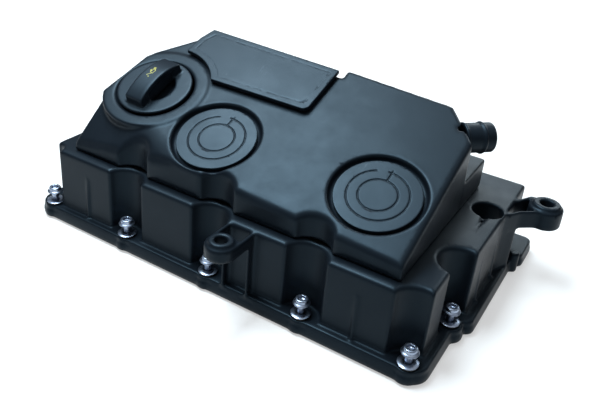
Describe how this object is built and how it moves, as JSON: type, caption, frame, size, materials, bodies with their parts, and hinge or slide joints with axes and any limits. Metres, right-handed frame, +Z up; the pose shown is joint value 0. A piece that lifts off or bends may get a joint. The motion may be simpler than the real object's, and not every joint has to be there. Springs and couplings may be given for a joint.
{
  "type": "cylinder head cover",
  "caption": "Moulded cover for the top of a four-cylinder engine's cylinder head, with oil filler cap, vent valves, breather spigot and captive flange screws.",
  "frame": {"origin": "bottom centre of the cover's box, on the plane of its gasket", "axes": "+X along the front screw row, towards the right bracket; +Y to the rear; +Z up, away from the sealing plane"},
  "size_m": [0.4226, 0.2632, 0.1613],
  "materials": {
    "moulded_plastic": "fine-grained moulded black plastic, satin on the raised edges",
    "deck_plastic": "moulded black plastic, slightly smoother than the cover",
    "inner_plastic": "black moulded plastic",
    "rubber": "black rubber",
    "steel": "plain turned steel",
    "zinc": "bright zinc plating",
    "marking": null
  },
  "bodies": {
    "cover": {"cover_body": "moulded_plastic", "upper_housing": "moulded_plastic", "separator_lid": "deck_plastic", "valve_cap_1": "deck_plastic", "valve_cap_2": "deck_plastic", "diaphragm_1": "rubber", "diaphragm_2": "rubber", "valve_spring_1": "steel", "valve_spring_2": "steel", "breather_outlet": "moulded_plastic", "separator_core": "inner_plastic", "baffle_plate": "inner_plastic", "baffle_screw_1": "zinc", "baffle_screw_2": "zinc", "baffle_screw_3": "zinc", "baffle_screw_4": "zinc", "drain_valve": "rubber", "gasket": "rubber", "grommets": "rubber", "sleeves": "steel", "washers": "zinc"},
    "cap_seal": {"oil_cap_seal": "rubber"},
    "cap": {"oil_cap": "deck_plastic"},
    "valve_1": {"valve_plate_1": "inner_plastic"},
    "valve_2": {"valve_plate_2": "inner_plastic"},
    "screw_front_1_body": {"screw_front_1": "zinc"},
    "screw_front_2_body": {"screw_front_2": "zinc"},
    "screw_front_3_body": {"screw_front_3": "zinc"},
    "screw_front_4_body": {"screw_front_4": "zinc"},
    "screw_front_5_body": {"screw_front_5": "zinc"},
    "screw_right_body": {"screw_right": "zinc"},
    "screw_left_body": {"screw_left": "zinc"},
    "screw_rear_1_body": {"screw_rear_1": "zinc"},
    "screw_rear_2_body": {"screw_rear_2": "zinc"},
    "screw_rear_3_body": {"screw_rear_3": "zinc"},
    "screw_rear_4_body": {"screw_rear_4": "zinc"}
  },
  "joints": [
    {"name": "cap_lift", "type": "slide", "parent": "cover", "child": "cap_seal", "axis": [0.058, -0.3843, 0.9214], "range_m": [0, 0.03]},
    {"name": "cap_turn", "type": "hinge", "parent": "cap_seal", "child": "cap", "pos_m": [-0.12914, -0.02838, 0.12376], "axis": [0.058, -0.3843, 0.9214], "range_deg": [0, 90]},
    {"name": "valve_1_stroke", "type": "slide", "parent": "cover", "child": "valve_1", "axis": [-0.058, 0.3843, -0.9214], "range_m": [0, 0.003], "stiffness_N_per_m": 120, "deforming": ["valve_spring_1", "diaphragm_1"]},
    {"name": "valve_2_stroke", "type": "slide", "parent": "cover", "child": "valve_2", "axis": [-0.058, 0.3843, -0.9214], "range_m": [0, 0.003], "stiffness_N_per_m": 120, "deforming": ["valve_spring_2", "diaphragm_2"]},
    {"name": "screw_front_1_drive", "type": "slide", "parent": "cover", "child": "screw_front_1_body", "axis": [0, 0, -1], "range_m": [0, 0.008]},
    {"name": "screw_front_2_drive", "type": "slide", "parent": "cover", "child": "screw_front_2_body", "axis": [0, 0, -1], "range_m": [0, 0.008]},
    {"name": "screw_front_3_drive", "type": "slide", "parent": "cover", "child": "screw_front_3_body", "axis": [0, 0, -1], "range_m": [0, 0.008]},
    {"name": "screw_front_4_drive", "type": "slide", "parent": "cover", "child": "screw_front_4_body", "axis": [0, 0, -1], "range_m": [0, 0.008]},
    {"name": "screw_front_5_drive", "type": "slide", "parent": "cover", "child": "screw_front_5_body", "axis": [0, 0, -1], "range_m": [0, 0.008]},
    {"name": "screw_right_drive", "type": "slide", "parent": "cover", "child": "screw_right_body", "axis": [0, 0, -1], "range_m": [0, 0.008]},
    {"name": "screw_left_drive", "type": "slide", "parent": "cover", "child": "screw_left_body", "axis": [0, 0, -1], "range_m": [0, 0.008]},
    {"name": "screw_rear_1_drive", "type": "slide", "parent": "cover", "child": "screw_rear_1_body", "axis": [0, 0, -1], "range_m": [0, 0.008]},
    {"name": "screw_rear_2_drive", "type": "slide", "parent": "cover", "child": "screw_rear_2_body", "axis": [0, 0, -1], "range_m": [0, 0.008]},
    {"name": "screw_rear_3_drive", "type": "slide", "parent": "cover", "child": "screw_rear_3_body", "axis": [0, 0, -1], "range_m": [0, 0.008]},
    {"name": "screw_rear_4_drive", "type": "slide", "parent": "cover", "child": "screw_rear_4_body", "axis": [0, 0, -1], "range_m": [0, 0.008]}
  ]
}
